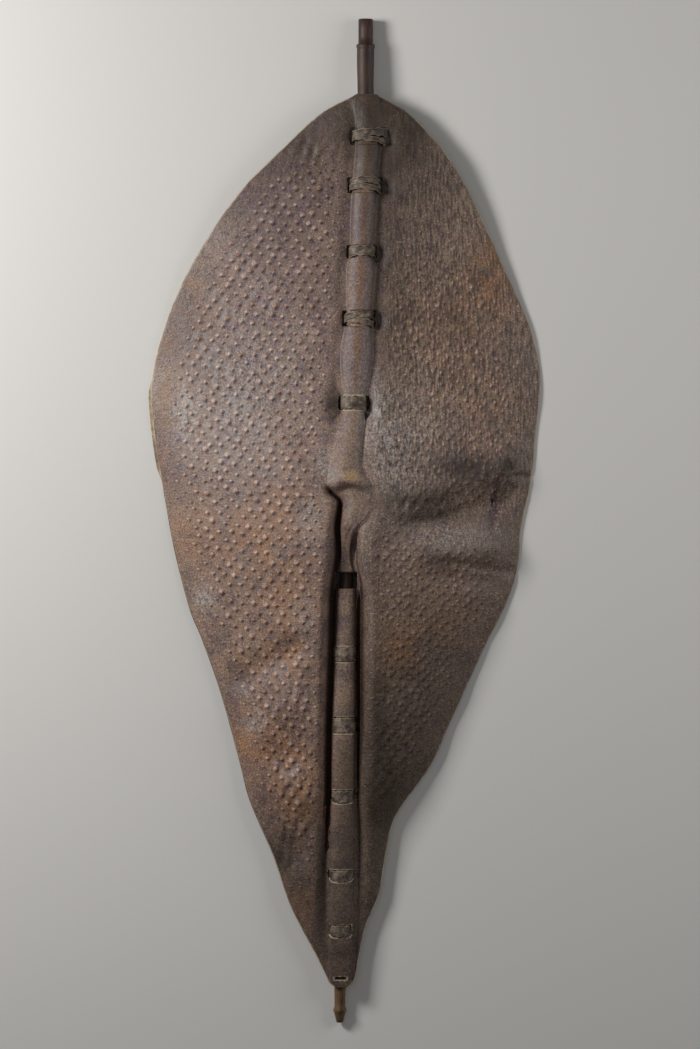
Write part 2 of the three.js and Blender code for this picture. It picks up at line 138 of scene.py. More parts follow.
# How softly the rib's sides meet the sheet, from 0.5 for a round rib
LEFT_SOFTNESS = [
    (0, 0.5), (0.54, 0.5), (0.557, 1), (0.575, 1.4), (0.61, 1.3), (0.64, 0.7), (0.66, 0.5), (0.955, 0.5),
    (0.975, 1.3), (1, 1.4),
]
RIGHT_SOFTNESS = [
    (0, 0.5), (0.515, 0.5), (0.54, 1.1), (0.562, 1.1), (0.58, 0.6), (0.6, 0.5), (0.955, 0.5), (0.975, 1.3),
    (1, 1.4),
]
LEFT_VALLEY_FLOOR = [
    (0, 4), (0.48, 4), (0.51, 3.5), (0.535, 2.5), (0.56, 2), (0.6, 6), (1, 6),
]
LEFT_VALLEY_WALL = [
    (0, 13), (0.48, 13), (0.51, 12), (0.535, 10), (0.57, 9), (0.62, 8), (1, 8),
]
RIGHT_VALLEY_FLOOR = [(0, 4.5), (1, 4.5)]
RIGHT_VALLEY_WALL = [(0, 15), (0.42, 16), (0.47, 9), (0.53, 9), (0.56, 20), (1, 20)]
NOSE_ARCH_SAG = 11.0
SHEET_ROUNDNESS = 1.75
RIM_FLAT = 30.0

# How far a lashing draws the rib in, in millimetres
RIB_PINCH = 1.1

# Folds: start and end as shares of the length and of half the width, height and half width in millimetres
BROAD_FOLDS = [
    ((0.518, 0.36), (0.553, 0.9), -8, 13),
    ((0.566, 0.42), (0.585, 0.9), 4.5, 17),
    ((0.488, 0.38), (0.492, 0.86), 6, 15),
    ((0.55, 0.17), (0.455, 0.11), 2.5, 9),
    ((0.462, 0.46), (0.452, 0.86), -2.5, 11),
    ((0.337, -0.6), (0.388, -0.2), -5.5, 15),
    ((0.29, -0.46), (0.325, -0.22), 4.5, 17),
    ((0.255, -0.42), (0.262, -0.2), -3, 13),
    ((0.235, -0.3), (0.2, -0.2), 3.5, 15),
    ((0.16, -0.36), (0.145, -0.2), -3.5, 15),
]
FINE_FOLDS = [
    ((0.562, 0.76), (0.512, 0.755), -3.0, 4.2),
    ((0.5735, 0.86), (0.5725, 0.95), -3.0, 2.6),
    ((0.591, 0.832), (0.578, 0.862), -4.0, 3.4),
    ((0.477, 0.5), (0.466, 0.86), -2.6, 5),
    ((0.541, 0.42), (0.553, 0.62), -2.6, 7),
    ((0.52, 0.3), (0.527, 0.5), -2.2, 6),
    ((0.497, 0.13), (0.487, 0.2), -1.2, 3),
    ((0.489, 0.14), (0.479, 0.21), 1.0, 3),
    ((0.6408, 0.103), (0.5856, 0.0776), -1.6, 1.5),
    ((0.845, 0.7), (0.9, 0.565), -1.0, 2.2),
    ((0.79, 0.8), (0.845, 0.7), -0.8, 2.2),
]
# Soft pits where the upper lashings go in: place, side as a share of half the width, half sizes and depth
PITS = [
    (0.954, 0.04, 4, 7, 2.5), (0.95, 0.208, 8, 9, 4.5),
    (0.898, 0.036, 4, 7, 2.2), (0.896, 0.195, 8, 9, 4.5),
    (0.824, 0.014, 4, 7, 2.0), (0.822, 0.163, 7, 9, 4.5),
    (0.749, -0.004, 4, 8, 2.2), (0.747, 0.158, 7, 10, 4.5),
    (0.653, -0.056, 8, 15, 7.0), (0.65, 0.116, 5, 11, 4.5),
]
# Crumpled patches: place, side as a share of half the width, half sizes and height, in millimetres
CRUMPLES = [
    (0.585, 0.57, 26, 13, 1.3), (0.535, 0.42, 42, 12, 1.5), (0.565, 0.8, 24, 30, 1.0),
    (0.48, 0.62, 60, 8, 0.9), (0.2, -0.25, 40, 55, 1.0), (0.31, -0.35, 50, 30, 0.7),
    (0.09, 0.0, 40, 40, 0.8), (0.7, -0.45, 60, 80, 0.4),
    (0.64, 0.3, 30, 40, 0.5), (0.25, 0.25, 30, 60, 0.6), (0.93, 0.0, 80, 40, 0.4),
]
CRUMPLE_SEED = 3
CRUMPLE_WAVES = 9
CRUMPLE_LENGTHS = (6.5, 15.0)

# Lashings from the top: place, width, side reach past the rib, curl of the edges, dark holes to the left
# and right, and how far the lower edge draws in towards its ends
LASHINGS = [
    (0.954, 17, 1.5, 1.2, 0.5, 1.2, 0.0),
    (0.899, 15, 0.8, 1.2, 0.5, 1.2, 0.0),
    (0.824, 12, -0.8, 0.8, 1.0, 1.5, 0.0),
    (0.749, 15, -0.3, 1.2, 0.5, 1.5, 0.0),
    (0.6546, 14, -0.6, 0.6, 2.0, 2.5, 0.0),
    (0.3734, 15, -1.2, 0.0, 0.0, 0.0, 0.0),
    (0.294, 16, -2.0, 0.0, 0.0, 0.0, 0.0),
    (0.2135, 13, -2.6, 0.0, 0.0, 0.0, 0.7),
    (0.1245, 12, -2.8, 0.0, 0.0, 0.0, 0.8),
    (0.0622, 12.5, -3.2, 0.0, 0.0, 0.0, 0.6),
]


def through(pairs):
    """A smooth function that passes through a short list of places and values."""
    places = np.array([pair[0] for pair in pairs], float)
    values = np.array([pair[1] for pair in pairs], float)
    before = np.maximum(np.arange(len(pairs)) - 1, 0)
    after = np.minimum(np.arange(len(pairs)) + 1, len(pairs) - 1)
    slopes = (values[after] - values[before]) / (places[after] - places[before])

    def at(place):
        place = np.clip(place, places[0], places[-1])
        k = np.clip(np.searchsorted(places, place, side="right") - 1, 0, len(places) - 2)
        span = places[k + 1] - places[k]
        share = (place - places[k]) / span
        rise = values[k + 1] - values[k]
        bend = (slopes[k] + slopes[k + 1]) * span - 2 * rise
        start = 3 * rise - (2 * slopes[k] + slopes[k + 1]) * span
        return values[k] + slopes[k] * span * share + start * share**2 + bend * share**3

    return at


left_edge_at = through(LEFT_EDGE)
right_edge_at = through(RIGHT_EDGE)
stick_line_at = through(STICK_LINE)
rib_half_width_at = through(RIB_HALF_WIDTH)
rib_shift_at = through(RIB_SHIFT)
rib_lift_at = through(RIB_LIFT)
sheet_lift_at = through(SHEET_LIFT)
left_floor_lift_at = through(LEFT_FLOOR_LIFT)
right_floor_lift_at = through(RIGHT_FLOOR_LIFT)
left_softness_at = through(LEFT_SOFTNESS)
right_softness_at = through(RIGHT_SOFTNESS)
left_floor_width_at = through(LEFT_VALLEY_FLOOR)
right_floor_width_at = through(RIGHT_VALLEY_FLOOR)
left_wall_at = through(LEFT_VALLEY_WALL)
right_wall_at = through(RIGHT_VALLEY_WALL)


def ease(value, start, end):
    """0 before the start and 1 after the end, with a soft change between them."""
    share = np.clip((value - start) / (end - start), 0, 1)
    return share * share * (3 - 2 * share)


STICK_START = -STICK_TIP_REACH
STICK_END = HIDE_LENGTH + STICK_TOP_REACH


def stick_radius(y):
    share = (y - STICK_START) / (STICK_END - STICK_START)
    return STICK_TIP_RADIUS + (STICK_TOP_RADIUS - STICK_TIP_RADIUS) * share


def stick_x(y):
    return stick_line_at(y / HIDE_LENGTH) * HIDE_LENGTH


def stick_z(y):
    from_middle = 2 * (y - STICK_START) / (STICK_END - STICK_START) - 1
    return stick_radius(y) + STICK_BOW * (1 - from_middle**2)


class Section:
    """The sheet's section across the rib, at distances y from the tip edge."""

    def __init__(self, y):
        place = y / HIDE_LENGTH
        self.middle = stick_x(y) + rib_shift_at(place)
        self.half_width = rib_half_width_at(place)
        self.left_floor = stick_z(y) + left_floor_lift_at(place)
        self.right_floor = stick_z(y) + right_floor_lift_at(place)
        self.crest = stick_z(y) + sheet_lift_at(place)
        self.left = left_edge_at(place) * HIDE_WIDTH / 2
        self.right = right_edge_at(place) * HIDE_WIDTH / 2
        tip_rise = TIP_RIM_RISE * ease(0.55 - place, 0, 0.6)
        self.rim = REST_RIM + TOP_RIM_RISE * ease(place, 0.7, 1.02) + tip_rise
        self.left_floor_end = self.half_width + left_floor_width_at(place)
        self.right_floor_end = self.half_width + right_floor_width_at(place)
        self.left_lip = self.left_floor_end + left_wall_at(place)
        self.right_lip = self.right_floor_end + right_wall_at(place)


def rib_top(y):
    return stick_z(y) + stick_radius(y) + RIB_SLACK + HIDE_THICKNESS + rib_lift_at(y / HIDE_LENGTH)


def fold_height(x, y, folds):
    total = np.zeros(np.broadcast(x, y).shape)
    for start, end, height, spread in folds:
        start_x, start_y = start[1] * HIDE_WIDTH / 2, start[0] * HIDE_LENGTH
        run_x, run_y = end[1] * HIDE_WIDTH / 2 - start_x, end[0] * HIDE_LENGTH - start_y
        run = math.hypot(run_x, run_y)
        along = ((x - start_x) * run_x + (y - start_y) * run_y) / run**2
        across = ((x - start_x) * run_y - (y - start_y) * run_x) / run / spread
        fade = ease(along, -0.25, 0.2) * ease(-along, -1.25, -0.8)
        total = total + height * fade * np.exp(-across * across)
    return total


def ripple(x, y):
    """Low unevenness of hand-moulded hide, about half a millimetre."""
    return (
        0.45 * np.sin(x / 17.0 + 1.3 * np.sin(y / 41.0)) * np.sin(y / 23.0 + 0.7)
        + 0.3 * np.sin(x / 9.3 + y / 13.7 + 2.0 * np.sin(y / 57.0))
        + 0.25 * np.sin(x / 29.0 - y / 11.1)
    )


def pinch(y):
    """How far each lashing draws the rib in, in millimetres."""
    total = 0.0
    for place, width, *_ in LASHINGS:
        total = total + RIB_PINCH * np.exp(-(((y - place * HIDE_LENGTH) / (0.62 * width)) ** 2))
    return total


def pit_depth(x, y):
    total = 0.0
    for place, side, half_x, half_y, depth in PITS:
        across = (x - side * HIDE_WIDTH / 2) / half_x
        along = (y - place * HIDE_LENGTH) / half_y
        total = total + depth * np.exp(-across * across - along * along)
    return total


def crumple(x, y):
    """Small lumps and wrinkles of the crumpled patches."""
    random = np.random.default_rng(CRUMPLE_SEED)
    lumps = 0.0
    for _ in range(CRUMPLE_WAVES):
        turn, phase = random.uniform(0, FULL_TURN, 2)
        pace = FULL_TURN / random.uniform(*CRUMPLE_LENGTHS)
        lumps = lumps + np.sin((x * math.cos(turn) + y * math.sin(turn)) * pace + phase)
    lumps = lumps / math.sqrt(CRUMPLE_WAVES)
    height = 0.0
    for place, side, half_x, half_y, most in CRUMPLES:
        across = (x - side * HIDE_WIDTH / 2) / half_x
        along = (y - place * HIDE_LENGTH) / half_y
        height = height + most * np.exp(-across * across - along * along)
    return lumps * height


def face_z(x, y, fine=True):
    """Height of the face of the sheet."""
    cut = Section(y)
    side = x - cut.middle
    is_left = side < 0
    floor = np.where(is_left, cut.left_floor, cut.right_floor)
    floor_end = np.where(is_left, cut.left_floor_end, cut.right_floor_end)
    lip = np.where(is_left, cut.left_lip, cut.right_lip)
    edge = np.where(is_left, cut.middle - cut.left, cut.right - cut.middle)
    reach = np.abs(side)
    spread = np.minimum(reach / np.maximum(edge, 1), 1)
    sheet = cut.rim + (cut.crest - cut.rim) * (1 - spread**SHEET_ROUNDNESS)
    drop = 1 - np.clip((reach - floor_end) / (np.minimum(lip, edge) - floor_end), 0, 1)
    depth = np.maximum(cut.crest - floor, 0) * drop**2
    fold_share = ease(reach, lip * 0.7, lip * 1.6) * ease(edge - reach, 0, RIM_FLAT)
    valley = sheet - depth + fold_height(x, y, BROAD_FOLDS) * fold_share
    share = np.minimum(reach / cut.half_width, 1)
    softness = np.where(is_left, left_softness_at(y / HIDE_LENGTH), right_softness_at(y / HIDE_LENGTH))
    top = rib_top(y + NOSE_ARCH_SAG * share * share)
    if fine:
        valley = valley + (ripple(x, y) + crumple(x, y)) * ease(reach, floor_end, lip * 1.5)
        top = top - pinch(y) * (1 - share * share)
    rib = floor + (top - floor) * (1 - share * share) ** softness
    face = np.where(share < 1, np.maximum(valley, rib), valley)
    if fine:
        face = face + fold_height(x, y, FINE_FOLDS) - pit_depth(x, y) * ease(share, 0.6, 1)
    return face


def face_normal(x, y, fine=True):
    step = 0.8
    dx = (face_z(x + step, y, fine) - face_z(x - step, y, fine)) / (2 * step)
    dy = (face_z(x, y + step, fine) - face_z(x, y - step, fine)) / (2 * step)
    normal = np.stack([-dx, -dy, np.ones_like(dx)], axis=-1)
    return normal / np.linalg.norm(normal, axis=-1, keepdims=True)


# The grid of the sheet: every BACK_STEP-th corner of the face has a partner on the back
BACK_STEP = 4
RIM_INSIDE = Vector((0, 40, 20))
ROWS = 424
SHEET_COLUMNS = 74
LEFT_VALLEY_COLUMNS = 10
RIB_COLUMNS = 14
RIGHT_VALLEY_COLUMNS = 14


def column_places(y):
    """Places across the sheet of the columns of corners, one row of them for each distance y."""
    cut = Section(y)
    left_room = cut.middle - cut.left
    right_room = cut.right - cut.middle
    rib = cut.half_width
    left_lip = np.minimum(cut.left_lip, left_room * 0.62 + rib * 0.2)
    right_lip = np.minimum(cut.right_lip, right_room * 0.62 + rib * 0.2)
    left_rib = np.minimum(rib, left_room * 0.42)
    right_rib = np.minimum(rib, right_room * 0.42)
    stops = [
        (cut.left, cut.middle - left_lip, SHEET_COLUMNS),
        (cut.middle - left_lip, cut.middle - left_rib, LEFT_VALLEY_COLUMNS),
        (cut.middle - left_rib, cut.middle, RIB_COLUMNS),
        (cut.middle, cut.middle + right_rib, RIB_COLUMNS),
        (cut.middle + right_rib, cut.middle + right_lip, RIGHT_VALLEY_COLUMNS),
        (cut.middle + right_lip, cut.right, SHEET_COLUMNS),
    ]
    spots = []
    for start, end, count in stops:
        spots.append(start[:, None] + (end - start)[:, None] * np.arange(count) / count)
    return np.concatenate(spots + [cut.right[:, None]], axis=1)


# Pimples, in millimetres: the lattice's steps across and down, radius, length over width and height
PIMPLE_SEED = 7
PIMPLE_LATTICE = {-1: (12.6, 8.9, 3.2, 1.0, 1.5), 1: (11.4, 6.2, 2.3, 1.4, 1.2)}
FAR_FROM_PIMPLE = 3.0
# Below this distance from the tip, the pimples right of the rib are round and wider
ROUND_BELOW = 470
ROUND_WIDER = 1.3
PIMPLE_SHADE = (2.2, -2.4)
LATTICE_REACH = 20


def pimple_spots():
    """Middle, radius, length over width and height of every pimple; they shrink near rib, rim and top."""
    random = np.random.default_rng(PIMPLE_SEED)
    spots = []
    for side, (across, down, radius, slimness, height) in PIMPLE_LATTICE.items():
        for row in range(int(HIDE_LENGTH / down)):
            for column in range(-LATTICE_REACH, LATTICE_REACH):
                x = (column + 0.5 * (row % 2)) * across
                bend = 5 * math.sin(x / 47) - 0.06 * x
                spots.append((x + 3 * math.sin(row / 9), row * down + bend, side, radius, slimness, height))
    spots = np.array(spots)
    spots[:, :2] += random.normal(0, 0.9, (len(spots), 2))
    size = random.uniform(0.7, 1.1, len(spots))
    x, y, side, radius, slimness, height = spots.T
    cut = Section(y)
    from_rib = side * (x - cut.middle) - cut.half_width
    from_rim = np.minimum(x - cut.left, cut.right - x)
    place = y / HIDE_LENGTH
    size *= (0.3 + 0.7 * ease(from_rib, 8, 32)) * (0.3 + 0.7 * ease(from_rim, 6, 42))
    size *= np.where(side < 0, ease(-place, -0.975, -0.9), 0.35 + 0.65 * ease(-place, -0.86, -0.78))
    size *= 1 - 0.6 * np.exp(-(((x - 125) / 48) ** 2) - ((y - 478) / 22) ** 2)
    low_right = (side > 0) & (y < ROUND_BELOW)
    slimness = np.where(low_right, 1.0, slimness)
    radius = np.where(low_right, ROUND_WIDER * radius, radius)
    keep = (from_rib > 7) & (from_rim > 5) & (y > 12) & (size > 0.16)
    keep &= (side < 0) | (random.uniform(0, 1, len(spots)) < ease(-place, -0.97, -0.84))
    return np.stack([x, y, radius * size, slimness, height * size], axis=1)[keep]


def new_object(name, mesh):
    made = bpy.data.objects.new(name, mesh)
    bpy.context.scene.collection.objects.link(made)
    return made


def new_mesh(name, bm):
    """A mesh made from the bmesh, which is freed."""
    mesh = bpy.data.meshes.new(name)
    bm.to_mesh(mesh)
    bm.free()
    return mesh


def joined(parts):
    """The bmeshes as one bmesh."""
    together = bmesh.new()
    for bm in parts:
        part = new_mesh("part", bm)
        together.from_mesh(part)
        bpy.data.meshes.remove(part)
    return together


def finish_piece(piece, node, material):
    piece.data.materials.clear()
    piece.data.materials.append(material)
    for face in piece.data.polygons:
        face.use_smooth = True
        face.material_index = 0
    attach(piece, "root")
    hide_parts(node)
    return piece


def to_frame(spots):
    """Millimetres from the tip edge as metres in the frame."""
    return (spots + TIP_IN_FRAME) * MM


def laid_grid(bm, columns, rows):
    """A flat grid, with the column and row of each of its corners."""
    corners = bmesh.ops.create_grid(bm, x_segments=columns, y_segments=rows, size=1.0)["verts"]
    flat = np.array([corner.co[:2] for corner in corners])
    column = np.rint((flat[:, 0] + 1) / 2 * columns).astype(int)
    row = np.rint((flat[:, 1] + 1) / 2 * rows).astype(int)
    return corners, column, row


def move_corners(corners, spots):
    for corner, spot in zip(corners, to_frame(spots)):
        corner.co = spot


def relief_of_pimples(xs, ys):
    """Height of the pimples on the grid, distance from a pimple in its radii, and their shaded side."""
    relief = np.zeros(xs.shape)
    away = np.full(xs.shape, FAR_FROM_PIMPLE)
    shade = np.zeros(xs.shape)
    for x, y, radius, slimness, height in pimple_spots():
        row = min(max(int(round(y / HIDE_LENGTH * ROWS)), 0), ROWS)
        column = int(np.argmin(np.abs(xs[row] - x)))
        near = (slice(max(row - 4, 0), row + 5), slice(max(column - 9, 0), column + 10))
        side, up = xs[near] - xs[row, column], ys[near] - ys[row, column]
        share = np.hypot(side, up / slimness) / radius
        away[near] = np.minimum(away[near], share)
        relief[near] = np.maximum(relief[near], height * np.exp(-1.5 * share**2))
        shaded = np.hypot(side - PIMPLE_SHADE[0], (up - PIMPLE_SHADE[1]) / slimness)
        shaded = shaded / max(radius * 0.8, 1.7)
        shade[near] = np.maximum(shade[near], np.minimum(height, 1) * np.exp(-1.2 * shaded**2))
    return relief, away, shade


# The cut rim, from the face down: how far each step goes out and down, in millimetres
RIM_STEPS = [(0.9, 0.7), (-0.5, 0.8), (0.4, 0.6)]
# Where the left rim has split in two plies, as shares of the length, and how far the lower ply juts out
SPLIT_FROM = 0.565
SPLIT_TO = 0.685
SPLIT_PROUD = 2.6


def extruded_rim(bm, rim, outward, down):
    """Extrudes the rim's edges one step out and down, and gives back the new rim."""
    made = bmesh.ops.extrude_edge_only(bm, edges=rim)["geom"]
    edges = [item for item in made if isinstance(item, bmesh.types.BMEdge) and item.is_boundary]
    on_rim = set(edges)
    moves = []
    for corner in [item for item in made if isinstance(item, bmesh.types.BMVert)]:
        near = [edge.other_vert(corner) for edge in corner.link_edges if edge in on_rim]
        out = (near[1].co - near[0].co).cross((0, 0, 1)).normalized()
        if out.dot(corner.co - RIM_INSIDE * MM) < 0:
            out.negate()
        place = (corner.co.y / MM - TIP_IN_FRAME[1]) / HIDE_LENGTH
        split = 0.0
        if corner.co.x < 0 and down == RIM_STEPS[-1][1]:
            split = SPLIT_PROUD * float(ease(place, SPLIT_FROM, SPLIT_FROM + 0.02))
            split *= float(ease(-place, -SPLIT_TO, 0.02 - SPLIT_TO))
        moves.append((corner, out * (outward + split) * MM))
    for corner, move in moves:
        corner.co += move
        corner.co.z -= down * MM
    return edges


def hide_mesh():
    """The sheet: a fine face, a plain back, and a cut rim between them."""
    columns = 2 * SHEET_COLUMNS + LEFT_VALLEY_COLUMNS + 2 * RIB_COLUMNS + RIGHT_VALLEY_COLUMNS
    row_ys = np.linspace(0, HIDE_LENGTH, ROWS + 1)
    xs = column_places(row_ys)
    ys = np.repeat(row_ys[:, None], columns + 1, axis=1)
    relief, away, shade = relief_of_pimples(xs, ys)
    face_spots = np.stack([xs, ys, face_z(xs, ys)], axis=-1)
    lifted = face_spots + face_normal(xs, ys) * relief[..., None]

    bm = bmesh.new()
    layer = bm.verts.layers.float.new("pimple")
    shade_layer = bm.verts.layers.float.new("shade")
    cut_layer = bm.faces.layers.float.new("cut")
    corners, column, row = laid_grid(bm, columns, ROWS)
    move_corners(corners, lifted[row, column])
    for corner, value, shaded in zip(corners, away[row, column], shade[row, column]):
        corner[layer] = value
        corner[shade_layer] = shaded
    rim = [edge for edge in bm.edges if edge.is_boundary]
    face_count = len(bm.faces)

    normals = face_normal(xs, ys, fine=False)
    plain = np.stack([xs, ys, face_z(xs, ys, fine=False)], axis=-1) - normals * HIDE_THICKNESS
    corners, column, row = laid_grid(bm, columns // BACK_STEP, ROWS // BACK_STEP)
    move_corners(corners, plain[row * BACK_STEP, column * BACK_STEP])
    back_faces = list({face for corner in corners for face in corner.link_faces})
    bmesh.ops.reverse_faces(bm, faces=back_faces)
    for corner in corners:
        corner[layer] = FAR_FROM_PIMPLE
    face_count += len(back_faces)
    face_rim = set(rim)
    back_rim = [edge for edge in bm.edges if edge.is_boundary and edge not in face_rim]
    for outward, down in RIM_STEPS:
        rim = extruded_rim(bm, rim, outward, down)
    bmesh.ops.bridge_loops(bm, edges=rim + back_rim)
    bm.faces.ensure_lookup_table()
    for face in bm.faces[face_count:]:
        face[cut_layer] = 1.0
    bmesh.ops.recalc_face_normals(bm, faces=bm.faces)
    return new_mesh("hide_sheet", bm)


# A ring is spun with this radius, and with this much for each millimetre of thickness, before it is bent
RING_RADIUS = 2
RING_UNIT = 0.1


def spin_round(bm, geometry, steps):
    """Spins the outline once round Y."""
    bmesh.ops.spin(
        bm, geom=geometry, axis=(0, 1, 0), cent=(0, 0, 0), angle=FULL_TURN, steps=steps, use_merge=True
    )


def spun_ring(outline, steps):
    """A closed ring round Y: its outline of (outward, along) points, spun once round."""
    bm = bmesh.new()
    points = [bm.verts.new((RING_RADIUS + out, along, 0)) for out, along in outline]
    edges = [bm.edges.new((points[k - 1], points[k])) for k in range(len(points))]
    spin_round(bm, points + edges, steps)
    bmesh.ops.recalc_face_normals(bm, faces=bm.faces)
    return bm


def wrapped(bm, place, side_reach, shape):
    """Bends a spun ring round rib and stick; shape moves each (turn, out, along) first."""
    y = place * HIDE_LENGTH
    cut = Section(np.array(y))
    sideways = cut.half_width + side_reach
    floor = min(cut.left_floor, cut.right_floor)
    upwards = rib_top(y) - RIB_PINCH - floor
    downwards = floor - stick_z(y) + stick_radius(y)
    spots = []
    for corner in bm.verts:
        turn = math.atan2(corner.co.z, corner.co.x)
        out = (math.hypot(corner.co.x, corner.co.z) - RING_RADIUS) / RING_UNIT
        out, along = shape(turn, out, corner.co.y)
        height = upwards if math.sin(turn) > 0 else downwards
        x = cut.middle + (sideways + out) * math.cos(turn)
        spots.append((x, y + along, floor + (height + out) * math.sin(turn)))
    move_corners(bm.verts, np.array(spots))
    return bm


SLIT_STEPS = 48
HOLE_STEPS = 10


def drawn_in(turn, along, draw):
    """Place along a lashing's width, with its lower edge drawn in towards its ends."""
    if along > 0:
        return along
    return along * (1 - draw * (1 - math.sqrt(max(math.sin(turn), 0.0))))


def slit_cutter(lashing):
    """A band as wide as the slits and holes that a lashing goes through."""
    place, width, side_reach, curl, hole_left, hole_right, draw = lashing
    half = width / 2
    inner = LASHING_CLEARANCE - SLIT_CLEARANCE
    outer = LASHING_CLEARANCE + LASHING_THICKNESS + SLIT_CLEARANCE + curl
    outline = [(inner * RING_UNIT, half), (inner * RING_UNIT, -half)]
    for turn in np.linspace(-math.pi / 2, math.pi / 2, HOLE_STEPS):
        outline.append(((outer + math.cos(turn)) * RING_UNIT, half * math.sin(turn)))

    def shape(turn, out, along):
        hole = hole_right if math.cos(turn) > 0 else hole_left
        grown = drawn_in(turn, along, draw) + math.copysign(SLIT_CLEARANCE, along)
        return min(out, outer) + max(out - outer, 0) * hole * abs(math.cos(turn)), grown

    return wrapped(spun_ring(outline, SLIT_STEPS), place, side_reach, shape)


def block(width, length, height, x, y, z):
    bm = bmesh.new()
    corners = bmesh.ops.create_cube(bm, size=1.0)["verts"]
    spots = [(x + c.co.x * width, y + c.co.y * length, z + c.co.z * height) for c in corners]
    move_corners(corners, np.array(spots))
    return bm


def cut_away(piece, cutters):
    """Cuts the bmeshes out of the piece."""
    together = joined(cutters)
    layer = together.faces.layers.float.new("cut")
    for face in together.faces:
        face[layer] = 1.0
    mesh = new_mesh("cutter", together)
    cutter = new_object("cutter", mesh)
    cutting = piece.modifiers.new("slits", "BOOLEAN")
    cutting.operation = "DIFFERENCE"
    cutting.solver = "MANIFOLD"
    cutting.object = cutter
    done = bpy.data.meshes.new_from_object(piece.evaluated_get(bpy.context.evaluated_depsgraph_get()))
    piece.modifiers.clear()
    piece.data = done
    bpy.data.objects.remove(cutter)
    bpy.data.meshes.remove(mesh)


def cut_hide():
    """The sheet with its slits, the window over the stick and the slit of the tip strap."""
    piece = new_object("hide_sheet", hide_mesh())
    cutters = [slit_cutter(lashing) for lashing in LASHINGS]
    above = HIDE_THICKNESS * 8
    window_y = WINDOW_PLACE * HIDE_LENGTH
    window_z = stick_z(window_y) + above / 2
    cutters.append(block(WINDOW_WIDTH, WINDOW_LENGTH, above, stick_x(window_y), window_y, window_z))
    slit_x, slit_z = stick_x(TIP_SLIT_INSET), stick_z(TIP_SLIT_INSET)
    cutters.append(block(TIP_SLIT_WIDTH, TIP_SLIT_LENGTH, above * 2, slit_x, TIP_SLIT_INSET, slit_z))
    cut_away(piece, cutters)
    return piece


# Strands of the lashings seen on the rib. Each has its middle along the rib, its width, how far it slants
# from left to right, how far it arches, how far it stands off, and how much its edges curl, in millimetres
STRANDS = [
    [(2.6, 7.5, 2.5, 2.5, 0.5, 2.2), (-4.2, 5.0, -5.0, 2.5, 1.7, 1.8)],
    [(2.8, 6.5, 0.5, 5.0, 0.5, 1.8), (-3.6, 5.5, -3.0, 3.0, 1.3, 1.8)],
    [(0.0, 10.6, 1.2, 2.4, 0.2, 1.4)],
    [(2.8, 6.5, 3.0, 3.0, 0.9, 1.8), (-3.2, 6.0, -5.5, 2.0, 0.7, 1.8)],
    [(0.0, 13.5, -1.0, 0.8, -0.3, 0.5)],
    [(0.0, 14.6, 0.0, 0.0, -0.5, 0.3)],
    [(0.0, 15.4, 0.0, 0.0, -0.6, 0.25)],
    [(0.0, 12.4, 0.0, 0.0, -0.5, 0.3)],
    [(0.0, 11.4, 0.0, 0.0, -0.5, 0.25)],
    [(0.0, 11.9, 0.0, 0.0, -0.4, 0.3)],
]
STRAND_STEPS = 88
STRAND_COLUMNS = 6
STRAND_EDGE = 0.9
# How much farther out each next strand of a lashing goes round, in millimetres, and how its waves shift
STRAND_OUTER = 0.25
STRAND_PHASE = 2.1
LASHING_PHASE = 0.9


def strand_ring(place, side_reach, draw, strand, phase):
    """One turn of rawhide strip round rib and stick, its edges uneven, curled and cut pale."""
    middle, width, slant, arch, stand_off, curl = strand
    half = width / 2
    flat = half - STRAND_EDGE
    spread = [-half] + [-flat + 2 * flat * k / STRAND_COLUMNS for k in range(STRAND_COLUMNS + 1)] + [half]
    outline = [(RING_UNIT, along) for along in spread] + [(0.0, along) for along in reversed(spread)]

    def shape(turn, out, along):
        share = along / half
        top = max(math.sin(turn), 0.0)
        lift = stand_off * top + curl * share**4 * (0.35 + 0.65 * top)
        lift += 0.16 * math.sin(5 * turn + phase) + 0.1 * math.sin(11 * turn + 2 * phase + share)
        wander = 0.4 * math.sin(7 * turn + phase) + 0.3 * math.sin(13 * turn + 1.7 * phase)
        thick = LASHING_THICKNESS * (0.9 - 0.25 * share**2)
        moved = drawn_in(turn, along, draw) + middle + slant * math.cos(turn) * 0.5 + arch * (top - 0.5)
        moved += wander * share
        return LASHING_CLEARANCE + out * thick + max(lift, -0.5), moved

    ring = spun_ring(outline, STRAND_STEPS)
    cut_layer = ring.verts.layers.float.new("cut")
    for corner in ring.verts:
        corner[cut_layer] = float(abs(corner.co.y) > half - 0.01)
    return wrapped(ring, place, side_reach, shape)


def lashing_mesh(name, lashing, strands, phase):
    place, _, side_reach, *_, draw = lashing
    rings = []
    for number, strand in enumerate(strands):
        outer = side_reach + STRAND_OUTER * number
        rings.append(strand_ring(place, outer, draw, strand, phase + STRAND_PHASE * number))
    return new_mesh(name, joined(rings))


STICK_STEPS = 220
STICK_SIDES = 32


